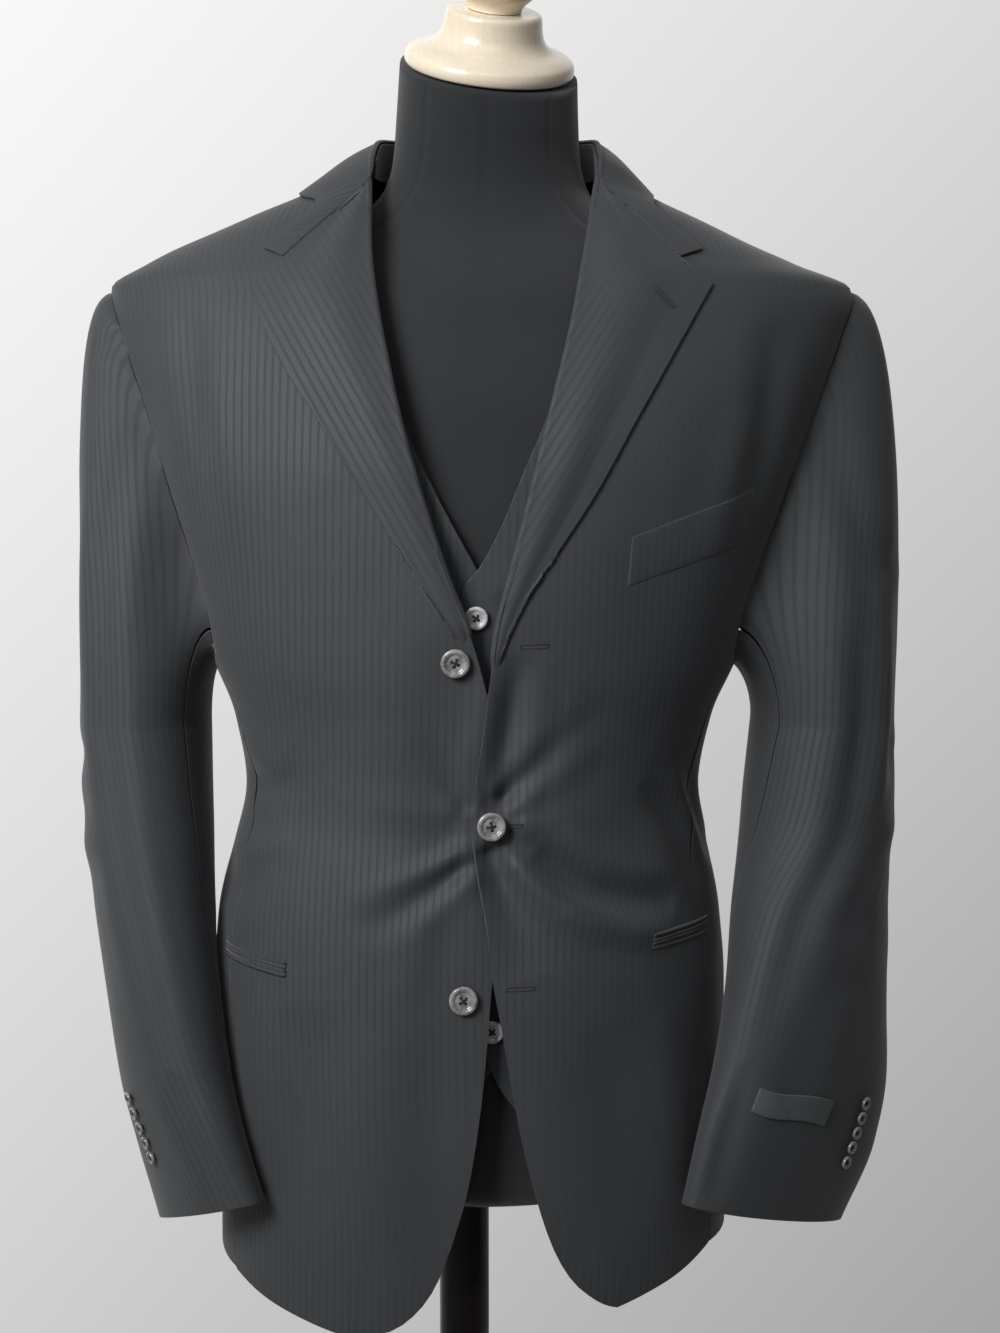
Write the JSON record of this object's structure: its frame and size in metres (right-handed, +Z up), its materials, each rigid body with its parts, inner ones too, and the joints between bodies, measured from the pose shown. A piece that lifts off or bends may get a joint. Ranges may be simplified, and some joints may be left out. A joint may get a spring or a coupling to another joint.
{
  "type": "suit jacket and waistcoat on a dress form",
  "caption": "Single-breasted notch-lapel suit jacket over a matching waistcoat, dressed on a limbless tailor's form with a wooden neck cap, a pole and a round base.",
  "frame": {"origin": "middle of the underside of the round base", "axes": "+Z up along the pole, the suit's front faces -Y, +X towards the wearer's left"},
  "size_m": [0.5813, 0.38, 1.6449],
  "materials": {
    "suiting": "charcoal worsted wool with fine self-coloured stripes, soft low sheen",
    "lining": "burgundy satin lining",
    "ribbon": "woven grey-teal ribbon, plain",
    "dark_button": "smoke-grey pearlescent, polished rim",
    "silver_button": "light grey pearlescent, polished",
    "jersey": "matte black jersey stretched over the form",
    "maple": "pale maple under clear gloss lacquer",
    "stand": "very dark brown satin enamel"
  },
  "bodies": {
    "root": {"jacket_front_L": "suiting", "jacket_front_R": "suiting", "jacket_side_L": "suiting", "jacket_side_R": "suiting", "jacket_back_L": "suiting", "jacket_back_R": "suiting", "jacket_upper_sleeve_L": "suiting", "jacket_upper_sleeve_R": "suiting", "jacket_under_sleeve_L": "suiting", "jacket_under_sleeve_R": "suiting", "jacket_collar": "suiting", "jacket_collar_stand": "suiting", "jacket_lapel_L": "suiting", "jacket_lapel_R": "suiting", "jacket_breast_welt": "suiting", "jacket_hip_jet_upper_L": "suiting", "jacket_hip_jet_upper_R": "suiting", "jacket_hip_jet_lower_L": "suiting", "jacket_hip_jet_lower_R": "suiting", "waistcoat_front_L": "suiting", "waistcoat_front_R": "suiting", "waistcoat_back": "suiting", "jacket_lining_hem_R": "lining", "sleeve_label": "ribbon", "jacket_button_top": "dark_button", "jacket_button_middle": "dark_button", "jacket_button_bottom": "dark_button", "cuff_button_L_1": "dark_button", "cuff_button_L_2": "dark_button", "cuff_button_L_3": "dark_button", "cuff_button_L_4": "dark_button", "cuff_button_L_5": "dark_button", "cuff_button_R_1": "dark_button", "cuff_button_R_2": "dark_button", "cuff_button_R_3": "dark_button", "cuff_button_R_4": "dark_button", "cuff_button_R_5": "dark_button", "waistcoat_button_1": "silver_button", "waistcoat_button_2": "silver_button", "waistcoat_button_3": "silver_button", "waistcoat_button_4": "silver_button", "waistcoat_button_5": "silver_button", "waistcoat_button_6": "silver_button", "form_torso": "jersey", "form_neck_cap": "maple", "form_cap_knob": "maple", "stand_pole": "stand", "stand_base": "stand"}
  },
  "joints": []
}
